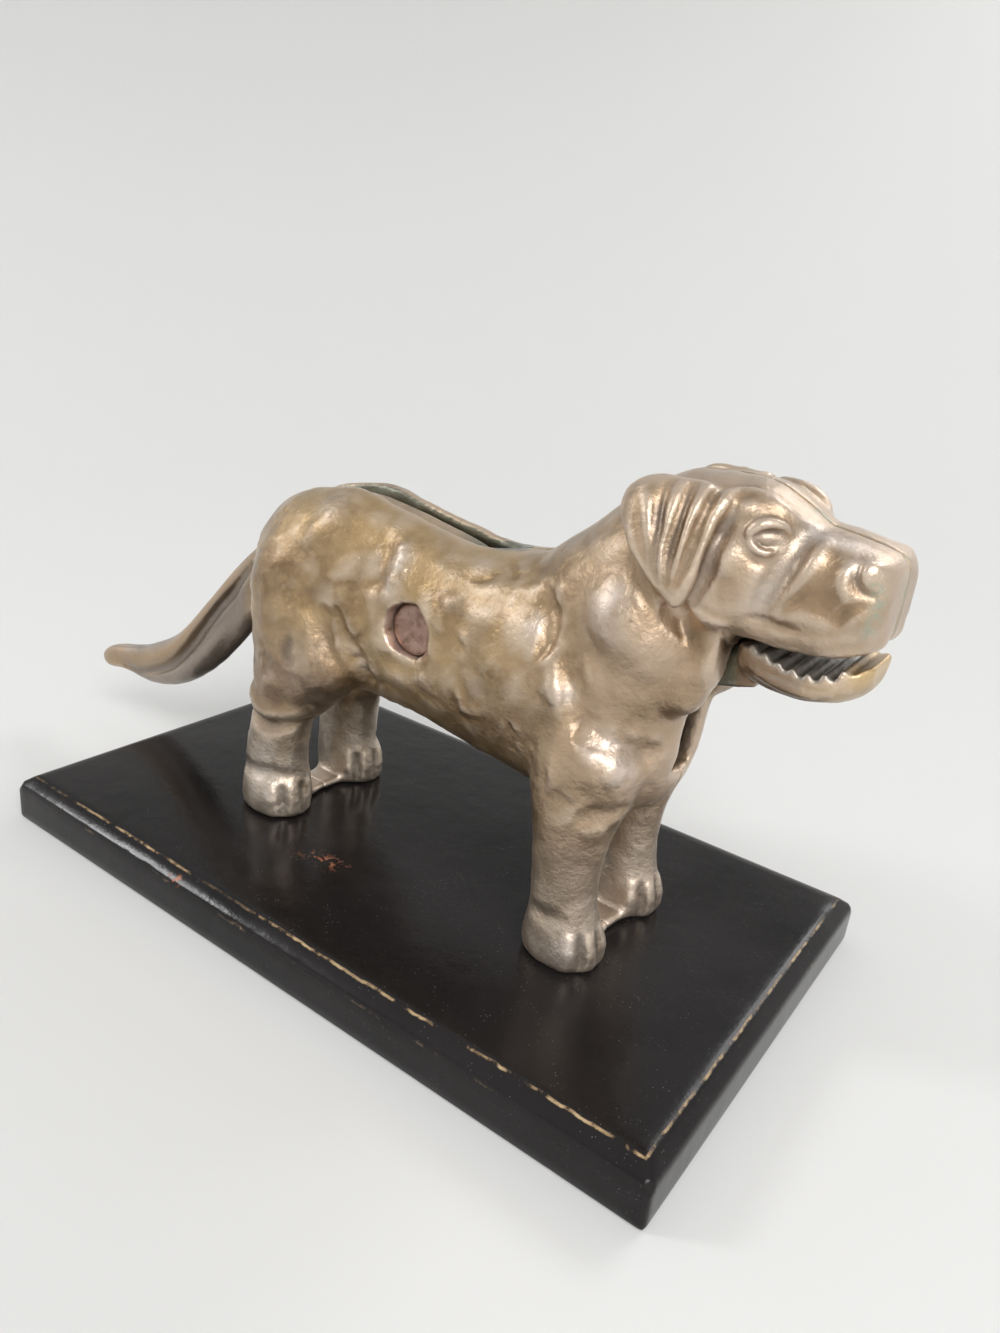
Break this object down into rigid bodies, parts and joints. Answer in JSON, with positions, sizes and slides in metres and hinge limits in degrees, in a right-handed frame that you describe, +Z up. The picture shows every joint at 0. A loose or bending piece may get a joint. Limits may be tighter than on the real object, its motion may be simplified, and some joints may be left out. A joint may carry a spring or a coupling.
{
  "type": "lever nutcracker press",
  "caption": "Lever nutcracker shaped as a standing dog on a plinth; lifting the tail drops the toothed lower jaw.",
  "frame": {"origin": "middle of the plinth's underside", "axes": "+X towards the dog's nose along the plinth's length, +Y to the dog's left, +Z up"},
  "size_m": [0.295, 0.138, 0.1494],
  "materials": {
    "cast_bronze": "brown-gold patina on a satin casting",
    "lever_bronze": "brown-gold patina, teeth rubbed grey",
    "copper_pin": "dull copper, peened and filed",
    "rivet_bronze": "filed flush",
    "screw_steel": "dull steel",
    "ebonised_wood": "black lacquer, satin, worn to red-brown wood on the edges"
  },
  "bodies": {
    "stand": {"plinth": "ebonised_wood", "casting_right": "cast_bronze", "casting_left": "cast_bronze", "pivot_pin": "copper_pin", "pivot_collar": "copper_pin", "head_rivet": "rivet_bronze", "shoulder_rivet": "rivet_bronze", "haunch_rivet": "rivet_bronze", "front_right_screw": "screw_steel", "front_left_screw": "screw_steel", "hind_right_screw": "screw_steel", "hind_left_screw": "screw_steel", "front_right_washer": "screw_steel", "front_left_washer": "screw_steel", "hind_right_washer": "screw_steel", "hind_left_washer": "screw_steel"},
    "lever": {"tail_lever": "lever_bronze"}
  },
  "joints": [
    {"name": "lever_pivot", "type": "hinge", "parent": "stand", "child": "lever", "pos_m": [0.0065, -0.0025, 0.0927], "axis": [0, 1, 0], "range_deg": [0, 15]}
  ]
}
